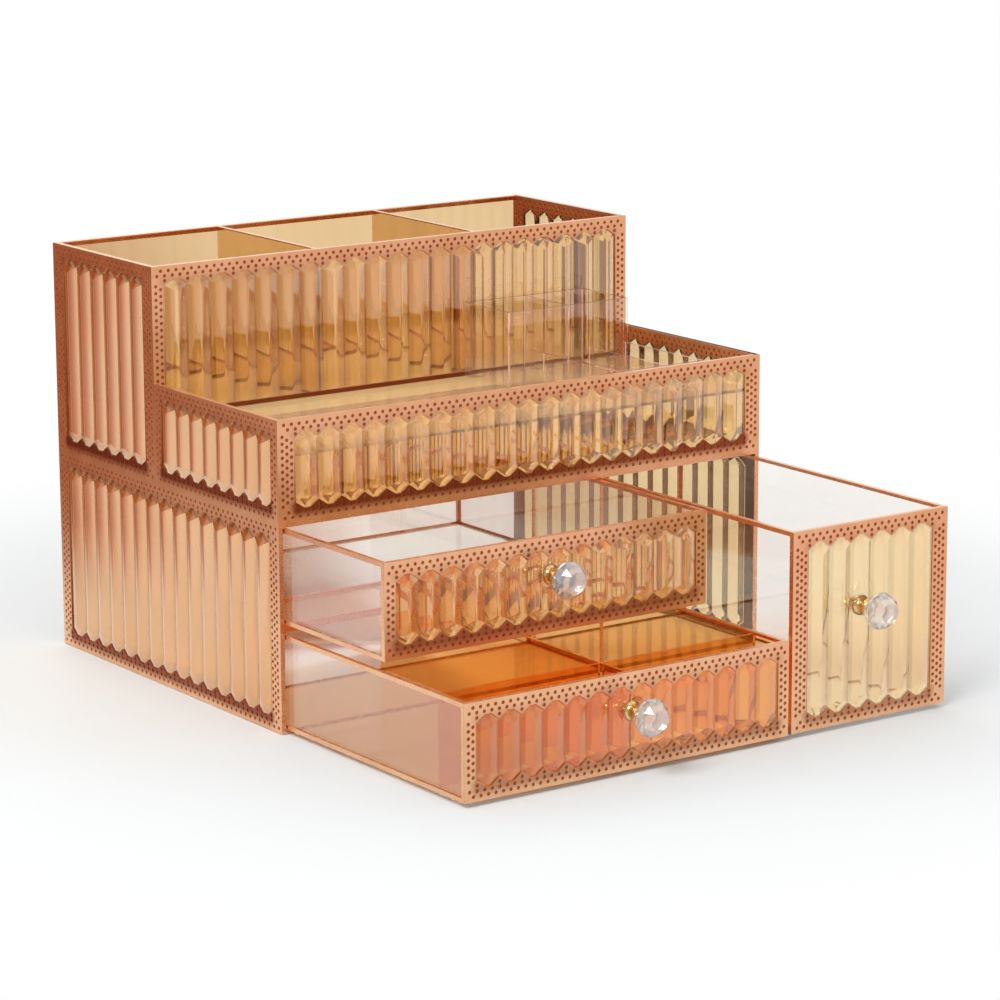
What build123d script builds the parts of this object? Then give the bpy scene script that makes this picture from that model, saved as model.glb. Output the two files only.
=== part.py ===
"""Glass vanity organizer: a cabinet of three drawers under a row of tall compartments and a shallow tray.

Millimetres. +Z is up, the drawers open towards -Y, and the origin is the centre of the underside.
The drawers stand open, each by its own amount. Every fluted face is a pressed pane with raised bars,
framed by a stamped metal lace whose teeth point into the valleys between the bars.
"""

from build123d import *
from math import atan2, cos, degrees, pi
import os

# Outer sizes
width = 320.0
depth = 235.0
cabinet_height = 113.0
tall_height = 119.0
tall_depth = 109.5
tray_height = 55.0

# Sheets
glass = 2.0
metal = 0.6
acrylic = 1.6

# Inside the cabinet
left_bay_width = 205.9
shelf_underside = 57.0
shelf_lip = 2.0

# Inside the upper boxes
plinth_height = 34.5
compartments = 3

# Drawers
side_clearance = 0.5
under_clearance = 0.3
head_clearance = 0.7
lower_head_clearance = 1.7
rear_clearance = 1.4
upper_drawer_open = 94.3
lower_drawer_open = 164.0
side_drawer_open = 163.0
cross_divider_reach = 25.5
slot_clearance = 0.3

# Plain metal edges
edge_strip = 2.4
rear_strip = 3.0
rim_width = 2.6

# Lace: how far its arches and teeth reach in from the edge of the face
crown_reach = 6.9
shoulder_reach = 7.2
tooth_reach = 10.6
shoulder_share = 0.3
lace_fit = 0.4
foot_strip = 2.5

# Bars pressed in the fluted panes
bar_relief = 2.5
valley = 0.4
bar_root = 0.5
bar_section = ((1.0, 0.0), (0.55, 0.56), (0.08, 1.0))

# Bars on each face, and the plain lace band beside the first and last one
tray_front_bars = 21
tray_front_band = 11.2
tray_side_bars = 8
tray_side_band = 7.0
tall_front_bars = 21
tall_front_band = 8.2
tall_side_bars = 6
tall_side_band = 10.6
cabinet_side_bars = 15
cabinet_side_band = 9.6
small_drawer_bars = 14
small_drawer_band = 7.4
tall_drawer_bars = 6
tall_drawer_band = 10.8

# Knobs
small_knob_rise = 5.3
tall_knob_rise = 9.0
crystal_start = 9.0
crystal_sides = 12
crystal_seat_radius = 4.8
crystal_seat_height = 0.6
crystal_seat = (crystal_seat_radius, crystal_seat_height)
crystal_rings = (crystal_seat, (8.3, 3.6), (10.0, 7.4), (8.6, 11.6), (5.2, 15.0))
knob_foot_radius = 5.0
knob_foot_thickness = 1.2
knob_stem_radius = 3.4
knob_stem_end = 4.6
knob_bore_radius = 2.2
screw_radius = 1.9
screw_head_radius = 3.8
screw_head_height = 2.4
screw_length = 8.0
drill_clearance = 0.4
seat_clearance = 0.4

# Clear insert that stands in the tray
insert_lift = 0.3
insert_side_gap = 30.4
insert_rear_gap = 0.6
insert_front_gap = 5.4
insert_tall_width = 84.0
insert_low_width = 59.5
insert_tall_depth = 43.5
insert_tall_height = 43.0
insert_low_height = 17.2
insert_narrow_cell = 24.1

# Places that several pieces share
left, right = -width / 2, width / 2
front, back = -depth / 2, depth / 2
wall = metal + glass
total_height = cabinet_height + tall_height
cabinet_ceiling = cabinet_height - glass
tier_floor_underside = cabinet_height + plinth_height
tier_floor_top = tier_floor_underside + glass
tray_top = cabinet_height + tray_height
tall_face = back - tall_depth
inner_x = (left + wall, right - wall)
inner_y = (front + metal, back - wall)
bay_divider_x = (inner_x[0] + left_bay_width, inner_x[0] + left_bay_width + glass)
shelf_z = (shelf_underside, shelf_underside + glass)

os.makedirs("parts", exist_ok=True)


def save(piece, name):
    """Labels a finished piece and writes it."""
    piece.part.label = name
    export_step(piece.part, f"parts/{name}.step")


def slab(x_span, y_span, z_span):
    """A flat sheet that fills the three spans."""
    with BuildPart() as sheet:
        with BuildSketch(Plane.XY.offset(z_span[0])):
            with Locations((sum(x_span) / 2, sum(y_span) / 2)):
                Rectangle(x_span[1] - x_span[0], y_span[1] - y_span[0])
        extrude(amount=z_span[1] - z_span[0])
    return sheet.part


def raise_layer(piece, face_axis, inset, rise):
    """Adds a layer on a piece's outermost face along the axis, drawn in by inset while it rises."""
    outermost = piece.faces().sort_by(face_axis)[-1]
    extrude(outermost, amount=rise, taper=degrees(atan2(inset, rise)))


def glass_bar(half_width, height, foot_arches):
    """One raised bar along Y, on the sheet's face at Z = 0. Its ends point into the arches of the lace."""
    corner = tooth_reach + lace_fit
    point = crown_reach + lace_fit
    foot = [(-half_width, corner), (0, point), (half_width, corner)]
    head = [(x, height - y) for x, y in reversed(foot)]
    if not foot_arches:
        foot = [(-half_width, -half_width), (half_width, -half_width)]
    with BuildPart() as bar:
        with BuildSketch(Plane.XY.offset(-bar_root)):
            with BuildLine():
                Polyline(*foot, *head, close=True)
            make_face()
        extrude(amount=bar_root)
        for (wide, low), (narrow, high) in zip(bar_section, bar_section[1:]):
            raise_layer(bar, Axis.Z, (wide - narrow) * half_width, (high - low) * bar_relief)
        if not foot_arches:
            split(bisect_by=Plane.XZ.offset(-foot_strip - lace_fit), keep=Keep.BOTTOM)
    return bar.part


def fluted_glass(length, height, band, bars, tuck=0.0, cap=0.0, foot_arches=True, knob=None):
    """A pressed pane that lies on Z = 0 with its bars up, and its frame's lower left corner at the origin.

    The sheet stops short of the frame by tuck at each side and by cap at the top. A knob's place gets
    a drilled hole and a round flat seat in the bars.
    """
    pitch = (length - 2 * band) / bars
    bar = glass_bar((pitch - valley) / 2, height, foot_arches)
    with BuildPart() as pane:
        with BuildSketch(Plane.XY.offset(-glass)):
            with Locations((length / 2, (height - cap) / 2)):
                Rectangle(length - 2 * tuck, height - cap)
        extrude(amount=glass)
        with Locations(*[(band + (n + 0.5) * pitch, 0) for n in range(bars)]):
            add(bar)
        if knob:
            with BuildSketch(Plane.XY):
                with Locations(knob):
                    Circle(knob_foot_radius + seat_clearance)
            extrude(amount=bar_relief, mode=Mode.SUBTRACT)
            with BuildSketch(Plane.XY.offset(-glass)):
                with Locations(knob):
                    Circle(screw_radius + drill_clearance)
            extrude(amount=glass, mode=Mode.SUBTRACT)
    return pane.part


def lace_frame(length, height, band, bars, foot_arches=True, tuck=0.0, folded=False, legs=0.0):
    """The stamped frame of a fluted pane, on Z = 0, with a toothed opening at its head and foot.

    A folded frame turns back over the glass's top edge. Legs are corner strips that run on below the foot.
    """
    pitch = (length - 2 * band) / bars
    side = band - lace_fit
    arch = []
    for n in range(bars):
        start = band + n * pitch
        shoulder = pitch * (1 - shoulder_share) / 2
        arch += [
            (start, tooth_reach),
            (start + shoulder, shoulder_reach),
            (start + pitch / 2, crown_reach),
            (start + pitch - shoulder, shoulder_reach),
        ]
    arch[0] = (side, tooth_reach)
    arch.append((length - side, tooth_reach))
    head = [(x, height - reach) for x, reach in arch]
    foot = arch if foot_arches else [(side, foot_strip), (length - side, foot_strip)]
    with BuildPart() as frame:
        with BuildSketch(Plane.XY):
            with Locations((length / 2, height / 2)):
                Rectangle(length, height)
            with BuildLine():
                Polyline(*foot, *reversed(head), close=True)
            make_face(mode=Mode.SUBTRACT)
            if legs:
                with Locations((tuck / 2, -legs / 2), (length - tuck / 2, -legs / 2)):
                    Rectangle(tuck, legs)
        extrude(amount=metal)
        if folded:
            with BuildSketch(Plane.XY.offset(-glass)):
                with Locations((length / 2, height - metal / 2)):
                    Rectangle(length - 2 * tuck, metal)
            extrude(amount=wall)
    return frame.part


def fluted_face(name, face, size, tuck=0.0, cap=0.0, foot_arches=True, folded=False, legs=0.0):
    """Makes a fluted pane and its lace on a face: the pane as name, the lace as name_lace.

    The size is the frame's length and height, its plain side band and the number of bars.
    """
    with BuildPart() as pane:
        add(fluted_glass(*size, tuck, cap, foot_arches).moved(face.location))
    save(pane, name)
    with BuildPart() as lace:
        add(lace_frame(*size, foot_arches, tuck, folded, legs).moved(face.location))
    save(lace, f"{name}_lace")


def front_face(x, y, z):
    """The plane of a face that looks towards -Y, with its lower left corner at the point."""
    return Plane(origin=(x, y, z), x_dir=(1, 0, 0), z_dir=(0, -1, 0))


def left_face(y, z):
    """The plane of the left outer glass face, with its lower left corner, at the rear, at the point."""
    return Plane(origin=(left + metal, y, z), x_dir=(0, -1, 0), z_dir=(-1, 0, 0))


def right_face(y, z):
    """The plane of the right outer glass face, with its lower left corner, at the front, at the point."""
    return Plane(origin=(right - metal, y, z), x_dir=(0, 1, 0), z_dir=(1, 0, 0))


# Cabinet: base, top, back, fluted sides, the wall between the bays and the shelf between the small drawers

with BuildPart() as cabinet_base:
    add(slab(inner_x, inner_y, (0, glass)))
save(cabinet_base, "cabinet_base")

with BuildPart() as cabinet_top:
    add(slab(inner_x, inner_y, (cabinet_ceiling, cabinet_height)))
save(cabinet_top, "cabinet_top")

with BuildPart() as cabinet_back:
    add(slab(inner_x, (back - wall, back - metal), (0, cabinet_height)))
save(cabinet_back, "cabinet_back")

with BuildPart() as bay_divider:
    add(slab(bay_divider_x, inner_y, (glass, cabinet_ceiling)))
save(bay_divider, "bay_divider")

with BuildPart() as drawer_shelf:
    add(slab((inner_x[0], bay_divider_x[0]), inner_y, shelf_z))
save(drawer_shelf, "drawer_shelf")

cabinet_side_length = depth - 2 * metal
cabinet_side = (cabinet_side_length, cabinet_height, cabinet_side_band, cabinet_side_bars)
fluted_face("cabinet_left", left_face(back - metal, 0), cabinet_side)
fluted_face("cabinet_right", right_face(front + metal, 0), cabinet_side)

# Front frame of the cabinet: one flat strip on every glass edge round the three drawer openings

with BuildPart() as front_trim:
    with BuildSketch(Plane.XZ.offset(-front - metal)):
        with Locations((0, cabinet_height / 2)):
            Rectangle(width, cabinet_height)
        for x_span, z_span in (
            ((inner_x[0], bay_divider_x[0]), (shelf_z[1], cabinet_ceiling)),
            ((inner_x[0], bay_divider_x[0]), (glass, shelf_z[0] - shelf_lip)),
            ((bay_divider_x[1], inner_x[1]), (glass, cabinet_ceiling)),
        ):
            with Locations((sum(x_span) / 2, sum(z_span) / 2)):
                Rectangle(x_span[1] - x_span[0], z_span[1] - z_span[0], mode=Mode.SUBTRACT)
    extrude(amount=metal)
save(front_trim, "front_trim")

# Upper boxes: a raised floor, the tall box with its two dividers, and the tray in front of it

with BuildPart() as tier_floor:
    add(slab(inner_x, (front + wall, back - wall), (tier_floor_underside, tier_floor_top)))
save(tier_floor, "tier_floor")

with BuildPart() as tall_back:
    add(slab(inner_x, (back - wall, back - metal), (cabinet_height, total_height - metal)))
save(tall_back, "tall_back")

divider_x = [left + width * n / compartments for n in range(1, compartments)]
for name, x in zip(("tall_divider_left", "tall_divider_right"), divider_x):
    with BuildPart() as tall_divider:
        add(
            slab(
                (x - glass / 2, x + glass / 2),
                (tall_face + wall, back - wall),
                (tier_floor_top, total_height - metal),
            )
        )
    save(tall_divider, name)

tall_side = (tall_depth - 2 * metal, tall_height, tall_side_band, tall_side_bars)
fluted_face("tall_left", left_face(back - metal, cabinet_height), tall_side, cap=metal)
fluted_face("tall_right", right_face(tall_face + metal, cabinet_height), tall_side, cap=metal)

tall_front_plane = front_face(left, tall_face + metal, tier_floor_top)
tall_front_size = (width, total_height - tier_floor_top, tall_front_band, tall_front_bars)
leg_height = tier_floor_top - cabinet_height
tall_front_fit = dict(tuck=wall, cap=metal, foot_arches=False, legs=leg_height)
fluted_face("tall_front", tall_front_plane, tall_front_size, **tall_front_fit)

tray_side = (tall_face - front - metal, tray_height, tray_side_band, tray_side_bars)
fluted_face("tray_left", left_face(tall_face, cabinet_height), tray_side, cap=metal, folded=True)
fluted_face("tray_right", right_face(front + metal, cabinet_height), tray_side, cap=metal, folded=True)

tray_front_plane = front_face(left, front + metal, cabinet_height)
tray_front_size = (width, tray_height, tray_front_band, tray_front_bars)
fluted_face("tray_front", tray_front_plane, tray_front_size, tuck=wall, cap=metal, folded=True)

# Rim strips on the top edges of the tall box and its dividers, and the flat frame on the edges of the back

with BuildPart() as tall_trim:
    rim_y = (tall_face + metal, back - metal)
    rim_x = (left + metal, right - metal)
    strips_x = [rim_x[0] + rim_width / 2, *divider_x, rim_x[1] - rim_width / 2]
    with BuildSketch(Plane.XY.offset(total_height - metal)):
        with Locations((0, sum(rim_y) / 2)):
            Rectangle(rim_x[1] - rim_x[0], rim_y[1] - rim_y[0])
        for start, end in zip(strips_x, strips_x[1:]):
            with Locations(((start + end) / 2, sum(rim_y) / 2)):
                Rectangle(end - start - rim_width, rim_y[1] - rim_y[0] - 2 * rim_width, mode=Mode.SUBTRACT)
    extrude(amount=metal)
    with BuildSketch(Plane.XZ.offset(-back)):
        with Locations((0, total_height / 2)):
            Rectangle(width, total_height)
        for z_span in ((0, cabinet_height), (cabinet_height, total_height)):
            with Locations((0, sum(z_span) / 2)):
                Rectangle(
                    width - 2 * rear_strip,
                    z_span[1] - z_span[0] - 2 * rear_strip,
                    mode=Mode.SUBTRACT,
                )
    extrude(amount=metal)
save(tall_trim, "tall_trim")


def drawer(name, x_span, floor, height, opened, band, bars, knob_x, knob_rise):
    """Makes a drawer's pieces, pulled out by opened from flush with the cabinet's front."""
    start = front - opened
    end = start + drawer_depth
    top = floor + height
    length = x_span[1] - x_span[0]
    knob = (knob_x - x_span[0], height / 2 + knob_rise)
    knob_z = floor + knob[1]
    face = front_face(x_span[0], start + metal, floor)
    glass_x = (x_span[0] + metal, x_span[1] - metal)
    clear_x = (x_span[0] + wall, x_span[1] - wall)
    clear_y = (start + wall, end - wall)
    pane_z = (floor, top - metal)

    with BuildPart() as front_pane:
        pane = fluted_glass(length, height, band, bars, tuck=metal, cap=metal, knob=knob)
        add(pane.moved(face.location))
    save(front_pane, f"{name}_front")

    with BuildPart() as lace:
        add(lace_frame(length, height, band, bars).moved(face.location))
    save(lace, f"{name}_front_lace")

    with BuildPart() as left_pane:
        add(slab((glass_x[0], clear_x[0]), (clear_y[0], end - metal), pane_z))
    save(left_pane, f"{name}_left_pane")

    with BuildPart() as right_pane:
        add(slab((clear_x[1], glass_x[1]), (clear_y[0], end - metal), pane_z))
    save(right_pane, f"{name}_right_pane")

    with BuildPart() as back_pane:
        add(slab(clear_x, (end - wall, end - metal), pane_z))
    save(back_pane, f"{name}_back_pane")

    with BuildPart() as bottom_pane:
        add(slab(clear_x, clear_y, (floor, floor + glass)))
    save(bottom_pane, f"{name}_bottom_pane")

    # The edge strips are one folded frame: a shell cut open at the front and over each pane's window
    shell_x = sum(x_span) / 2
    shell_y = (start + metal + end) / 2
    shell_depth = end - start - metal
    with BuildPart() as trim:
        with BuildSketch(Plane.XY.offset(floor)):
            with Locations((shell_x, shell_y)):
                Rectangle(length, shell_depth)
            with Locations((shell_x, shell_y - metal)):
                Rectangle(length - 2 * metal, shell_depth, mode=Mode.SUBTRACT)
        extrude(amount=height)
        with BuildSketch(Plane.XY.offset(top - metal)):
            with Locations((shell_x, shell_y)):
                Rectangle(length, shell_depth)
                Rectangle(length - 2 * rim_width, shell_depth - 2 * rim_width, mode=Mode.SUBTRACT)
        extrude(amount=metal)
        with BuildSketch(Plane.YZ.offset(x_span[0])):
            with Locations((shell_y, floor + height / 2)):
                Rectangle(shell_depth - 2 * edge_strip, height - 2 * edge_strip)
        extrude(amount=length, mode=Mode.SUBTRACT)
        with BuildSketch(Plane.XZ.offset(-end)):
            with Locations((shell_x, floor + height / 2)):
                Rectangle(length - 2 * edge_strip, height - 2 * edge_strip)
        extrude(amount=metal, mode=Mode.SUBTRACT)
    save(trim, f"{name}_trim")

    # The knob stands on the glass face: a gilt collar, the cut crystal in its cup, and a screw from inside
    knob_plane = Plane(origin=(knob_x, start, knob_z), x_dir=(1, 0, 0), z_dir=(0, -1, 0))
    with BuildPart() as collar:
        with BuildSketch(Plane(knob_plane.origin, x_dir=(1, 0, 0), z_dir=(0, 0, 1))):
            with BuildLine():
                Polyline(
                    (knob_bore_radius, metal),
                    (knob_foot_radius, metal),
                    (knob_foot_radius, metal - knob_foot_thickness),
                    (knob_stem_radius, metal - 2 * knob_foot_thickness),
                    (knob_stem_radius, -knob_stem_end),
                    (crystal_seat_radius, -crystal_start),
                    (knob_bore_radius, -crystal_start),
                    close=True,
                )
            make_face()
        revolve(axis=Axis(knob_plane.origin, (0, 1, 0)))
    save(collar, f"{name}_knob_collar")

    with BuildPart() as crystal:
        with BuildSketch(knob_plane.offset(crystal_start)):
            RegularPolygon(crystal_seat_radius, crystal_sides)
        extrude(amount=crystal_seat_height)
        for (wide, low), (narrow, high) in zip(crystal_rings, crystal_rings[1:]):
            inset = (wide - narrow) * cos(pi / crystal_sides)
            raise_layer(crystal, -Axis.Y, inset, high - low)
    save(crystal, f"{name}_knob_crystal")

    with BuildPart() as screw:
        with BuildSketch(knob_plane.offset(-wall)):
            Circle(screw_head_radius)
        extrude(amount=-screw_head_height)
        with BuildSketch(knob_plane.offset(-wall)):
            Circle(screw_radius)
        extrude(amount=screw_length)
    save(screw, f"{name}_knob_screw")


drawer_depth = depth - wall - rear_clearance
left_drawer_x = (inner_x[0] + side_clearance, bay_divider_x[0] - side_clearance)
side_drawer_x = (bay_divider_x[1] + side_clearance, inner_x[1] - side_clearance)
lower_floor = glass + under_clearance
upper_floor = shelf_z[1] + under_clearance
left_knob_x = sum(left_drawer_x) / 2
tall_drawer_pitch = (side_drawer_x[1] - side_drawer_x[0] - 2 * tall_drawer_band) / tall_drawer_bars
side_knob_x = sum(side_drawer_x) / 2 - tall_drawer_pitch / 2
upper_height = cabinet_ceiling - head_clearance - upper_floor
lower_height = shelf_z[0] - shelf_lip - lower_head_clearance - lower_floor
side_height = cabinet_ceiling - head_clearance - lower_floor
small_front = (small_drawer_band, small_drawer_bars, left_knob_x, small_knob_rise)
side_front = (tall_drawer_band, tall_drawer_bars, side_knob_x, tall_knob_rise)

drawer("upper_drawer", left_drawer_x, upper_floor, upper_height, upper_drawer_open, *small_front)
drawer("lower_drawer", left_drawer_x, lower_floor, lower_height, lower_drawer_open, *small_front)
drawer("side_drawer", side_drawer_x, lower_floor, side_height, side_drawer_open, *side_front)

# Dividers of the lower drawer: a cross pane behind the front and a long pane, halved into each other

lower_start = front - lower_drawer_open
divider_z = (lower_floor + glass, lower_floor + lower_height - metal)
halving_z = sum(divider_z) / 2
cross_y = (lower_start + cross_divider_reach - glass / 2, lower_start + cross_divider_reach + glass / 2)
long_x = (left_knob_x - glass / 2, left_knob_x + glass / 2)
long_y = (lower_start + wall, lower_start + drawer_depth - wall)
lower_knob_z = lower_floor + lower_height / 2 + small_knob_rise

with BuildPart() as cross_divider:
    add(slab((left_drawer_x[0] + wall, left_drawer_x[1] - wall), cross_y, divider_z))
    slot_x = (long_x[0] - slot_clearance, long_x[1] + slot_clearance)
    add(slab(slot_x, cross_y, (halving_z, divider_z[1])), mode=Mode.SUBTRACT)
save(cross_divider, "lower_drawer_cross_divider")

with BuildPart() as long_divider:
    add(slab(long_x, long_y, divider_z))
    slot_y = (cross_y[0] - slot_clearance, cross_y[1] + slot_clearance)
    add(slab(long_x, slot_y, (divider_z[0], halving_z)), mode=Mode.SUBTRACT)
    notch_y = (long_y[0], long_y[0] + screw_head_height + seat_clearance)
    notch_half = screw_head_radius + seat_clearance
    add(slab(long_x, notch_y, (lower_knob_z - notch_half, lower_knob_z + notch_half)), mode=Mode.SUBTRACT)
save(long_divider, "lower_drawer_long_divider")

# Clear insert: two tall cells at the rear and two low ones in front, moulded in one piece

insert_floor = tier_floor_top + insert_lift
insert_right = inner_x[1] - insert_side_gap
insert_tall_x = (insert_right - insert_tall_width, insert_right)
insert_low_x = (insert_right - insert_low_width, insert_right)
insert_back = tall_face + metal - bar_relief - insert_rear_gap
insert_step = insert_back - insert_tall_depth
insert_front = front + wall + insert_front_gap
low_divider_x = insert_right - 1.5 * acrylic - insert_narrow_cell


def insert_cells(outer_x, middle_x, y_span, height):
    """The hollows of the two cells on either side of a dividing wall."""
    z_span = (insert_floor + acrylic, insert_floor + height)
    left_cell = slab((outer_x[0] + acrylic, middle_x - acrylic / 2), y_span, z_span)
    right_cell = slab((middle_x + acrylic / 2, outer_x[1] - acrylic), y_span, z_span)
    return [left_cell, right_cell]


with BuildPart() as clear_insert:
    add(slab(insert_tall_x, (insert_step, insert_back), (insert_floor, insert_floor + insert_tall_height)))
    add(slab(insert_low_x, (insert_front, insert_step), (insert_floor, insert_floor + insert_low_height)))
    tall_y = (insert_step + acrylic, insert_back - acrylic)
    low_y = (insert_front + acrylic, insert_step)
    add(insert_cells(insert_tall_x, sum(insert_tall_x) / 2, tall_y, insert_tall_height), mode=Mode.SUBTRACT)
    add(insert_cells(insert_low_x, low_divider_x, low_y, insert_low_height), mode=Mode.SUBTRACT)
save(clear_insert, "clear_insert")
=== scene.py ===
# %% [markdown]
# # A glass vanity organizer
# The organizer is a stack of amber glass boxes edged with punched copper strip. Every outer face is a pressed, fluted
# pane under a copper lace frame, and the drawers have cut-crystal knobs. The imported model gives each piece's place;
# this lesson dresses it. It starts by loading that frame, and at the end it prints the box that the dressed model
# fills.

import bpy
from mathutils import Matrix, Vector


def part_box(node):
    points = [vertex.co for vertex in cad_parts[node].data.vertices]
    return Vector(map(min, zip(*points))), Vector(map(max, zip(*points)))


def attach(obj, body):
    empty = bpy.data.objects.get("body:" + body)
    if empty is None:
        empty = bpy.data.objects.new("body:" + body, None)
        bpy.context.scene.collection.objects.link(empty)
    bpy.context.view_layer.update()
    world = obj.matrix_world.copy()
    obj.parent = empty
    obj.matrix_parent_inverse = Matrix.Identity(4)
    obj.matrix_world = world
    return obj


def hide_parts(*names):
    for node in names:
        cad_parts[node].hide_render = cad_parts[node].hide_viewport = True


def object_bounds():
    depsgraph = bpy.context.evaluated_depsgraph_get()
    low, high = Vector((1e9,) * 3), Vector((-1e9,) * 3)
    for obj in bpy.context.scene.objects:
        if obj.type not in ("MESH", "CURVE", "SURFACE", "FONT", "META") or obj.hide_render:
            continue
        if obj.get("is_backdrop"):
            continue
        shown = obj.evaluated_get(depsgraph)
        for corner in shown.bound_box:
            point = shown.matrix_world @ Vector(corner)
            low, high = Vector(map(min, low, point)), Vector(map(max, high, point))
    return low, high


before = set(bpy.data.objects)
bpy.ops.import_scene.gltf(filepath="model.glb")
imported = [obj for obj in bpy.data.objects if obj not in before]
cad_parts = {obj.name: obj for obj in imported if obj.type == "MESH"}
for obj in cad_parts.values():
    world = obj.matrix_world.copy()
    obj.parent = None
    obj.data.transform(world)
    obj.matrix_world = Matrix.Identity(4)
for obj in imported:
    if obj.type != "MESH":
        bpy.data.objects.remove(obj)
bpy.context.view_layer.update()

# %% [markdown]
# ## Values that every step uses
# The pieces of the organizer repeat a few sizes: the glass sheet, the copper strip, the reach of the lace's arches
# and the relief of the flutes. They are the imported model's own sizes, in metres, so every new piece lands exactly on
# the solid that it stands for.

# %% Sizes and small helpers
import bmesh
import bpy
from math import cos, hypot, pi, radians, sin
from mathutils import Matrix, Vector

scene = bpy.context.scene
mm = 0.001
glass = 2.0 * mm
metal = 0.6 * mm
wall = glass + metal
relief = 2.5 * mm
lace_fit = 0.4 * mm
crown_reach = 6.9 * mm
tooth_reach = 10.6 * mm
foot_strip = 2.5 * mm


def add_object(name, mesh):
    """Links a mesh into the scene as an object at the origin."""
    piece = bpy.data.objects.new(name, mesh)
    scene.collection.objects.link(piece)
    return piece


def mesh_of(name, vertices, faces, edges=()):
    """A mesh from plain lists."""
    mesh = bpy.data.meshes.new(name)
    mesh.from_pydata([tuple(v) for v in vertices], list(edges), list(faces))
    mesh.update()
    return mesh


print("flute relief", relief, "lace reach", crown_reach, "to", tooth_reach)

# %% [markdown]
# ## The camera
# The photograph was taken with a long lens from the left and a little above. Its place was found by fitting the
# corners of the boxes: 35 degrees round from the front and 12.6 degrees down, from two metres away. A camera looks
# along its own -Z, so its matrix is built from the viewing direction, the right and the up vector.

# %% Camera
azimuth, elevation, roll = radians(35.19), radians(12.61), radians(-0.24)
look = Vector((sin(azimuth) * cos(elevation), cos(azimuth) * cos(elevation), -sin(elevation)))
level_right = Vector((cos(azimuth), -sin(azimuth), 0.0))
level_up = level_right.cross(look)
right = level_right * cos(roll) + level_up * sin(roll)
up = level_up * cos(roll) - level_right * sin(roll)

lens = bpy.data.cameras.new("camera")
lens.sensor_fit = "HORIZONTAL"
lens.sensor_width = 36.0
lens.lens = 36.0 * 3.8034
lens.clip_end = 50.0
camera = bpy.data.objects.new("camera", lens)
scene.collection.objects.link(camera)
turn = Matrix((right, up, -look)).transposed().to_4x4()
camera.matrix_world = Matrix.Translation((-1.1738, -1.7546, 0.5558)) @ turn
scene.camera = camera
scene.view_settings.view_transform = "Standard"
print("camera", tuple(camera.location), "lens", round(lens.lens, 1), "mm")

# %% [markdown]
# ## Nodes
# Materials, the world and the repeated shapes are all node trees. Written out link by link they would fill the
# lesson, so one helper adds a node and fills its inputs: a number or a colour is set on the socket itself, and
# another node's output is linked to it.

# %% Node helpers
def put(tree, kind, inputs=None, **settings):
    """Adds a node, applies its settings, and links or sets its inputs, given by name or number."""
    node = tree.nodes.new(kind)
    for key, value in settings.items():
        setattr(node, key, value)
    for key, value in (inputs or {}).items():
        if isinstance(value, bpy.types.NodeSocket):
            tree.links.new(value, node.inputs[key])
        else:
            node.inputs[key].default_value = value
    return node


def calc(tree, operation, *values):
    """One step of arithmetic; the values are sockets or numbers."""
    return put(tree, "ShaderNodeMath", dict(enumerate(values)), operation=operation).outputs[0]


def mixed(tree, share, first, second):
    """A mix of two shaders; share is how much of the second shows."""
    return put(tree, "ShaderNodeMixShader", {0: share, 1: first.outputs[0], 2: second.outputs[0]})


print("node helpers ready")

# %% [markdown]
# ## World
# Glass is lit by what surrounds it, and here three kinds of ray meet three surroundings. The camera, straight or
# through a pane, meets pure white, so the background is white without more light on the object. Matt surfaces meet a
# soft even light. Gloss mirrors a room, as it does in the photograph: pale at the sides, copper brown in front and
# behind. That room is a ramp over the compass direction, so the facets of a flute, which look to different sides,
# mirror different tones. Light passes through many panes, so the number of bounces is raised.

# %% World
room_stops = (
    (-180, (0.34, 0.12, 0.05)), (-138, (0.30, 0.10, 0.05)), (-128, (0.64, 0.46, 0.38)),
    (-121, (0.48, 0.28, 0.22)), (-113, (0.68, 0.48, 0.50)), (-106, (0.95, 0.84, 0.84)),
    (-101, (1.0, 0.98, 0.96)), (-86, (1.0, 0.96, 0.92)), (-80, (0.80, 0.62, 0.50)),
    (-62, (0.60, 0.46, 0.40)), (-22, (0.60, 0.40, 0.32)), (-6, (0.98, 0.86, 0.82)),
    (22, (0.94, 0.76, 0.76)), (44, (0.76, 0.55, 0.46)), (60, (0.98, 0.86, 0.76)),
    (74, (1.0, 0.98, 0.95)), (152, (1.0, 0.98, 0.95)), (166, (0.45, 0.20, 0.10)),
    (180, (0.34, 0.12, 0.05)),
)


def room_colour(tree, direction):
    """The colour of the mirrored room, by the compass direction in degrees from the front."""
    apart = put(tree, "ShaderNodeSeparateXYZ", {0: direction})
    forward = calc(tree, "MULTIPLY", apart.outputs["Y"], -1.0)
    angle = calc(tree, "ARCTAN2", apart.outputs["X"], forward)
    share = put(tree, "ShaderNodeMapRange", {"Value": angle, "From Min": -pi, "From Max": pi})
    ramp = put(tree, "ShaderNodeValToRGB", {"Fac": share.outputs["Result"]})
    for n, (degree, colour) in enumerate(room_stops):
        place = (degree + 180) / 360
        stop = ramp.color_ramp.elements[n] if n < 2 else ramp.color_ramp.elements.new(place)
        stop.position = place
        stop.color = (*colour, 1.0)
    return ramp.outputs["Color"]


def ray_kinds(tree):
    """Outputs that are 1 for rays from the camera or through glass, for mirrored rays, and for rays through glass."""
    path = put(tree, "ShaderNodeLightPath").outputs
    through = path["Is Transmission Ray"]
    return calc(tree, "MAXIMUM", path["Is Camera Ray"], through), path["Is Glossy Ray"], through


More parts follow.
